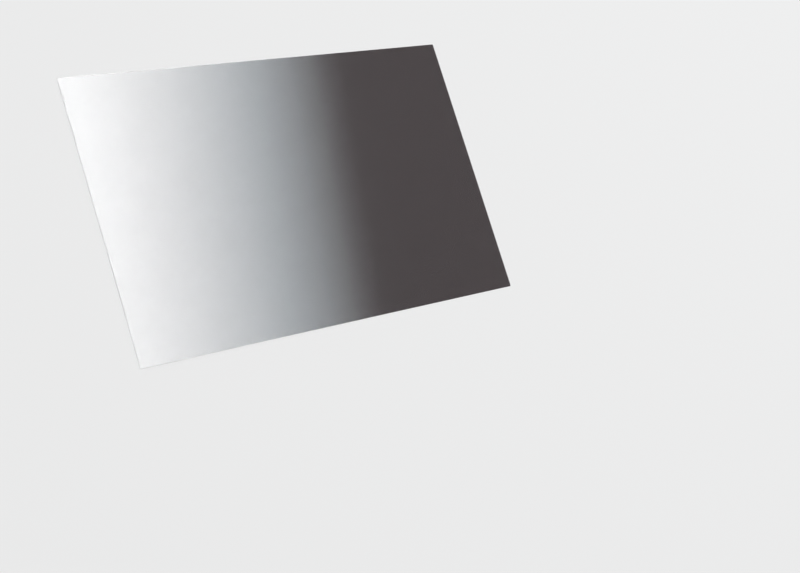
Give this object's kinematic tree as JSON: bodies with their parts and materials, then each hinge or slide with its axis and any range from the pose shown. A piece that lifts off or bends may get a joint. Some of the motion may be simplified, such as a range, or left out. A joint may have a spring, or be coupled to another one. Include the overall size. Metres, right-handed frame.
{
  "type": "laptop privacy filter",
  "caption": "Thin rectangular plastic sheet that covers a laptop's screen: clear to the person in front of it, and dark to anyone who looks at the screen from the side.",
  "frame": {"origin": "middle of the rear face, which lies on the screen", "axes": "+X to the right edge as the viewer sees it, +Y to the top edge, +Z out of the front face towards the viewer"},
  "size_m": [0.3316, 0.2074, 0.0005],
  "materials": {
    "privacy_film": "matte anti-glare front, see-through, smoke grey"
  },
  "bodies": {
    "root": {"filter_sheet": "privacy_film"}
  },
  "joints": []
}
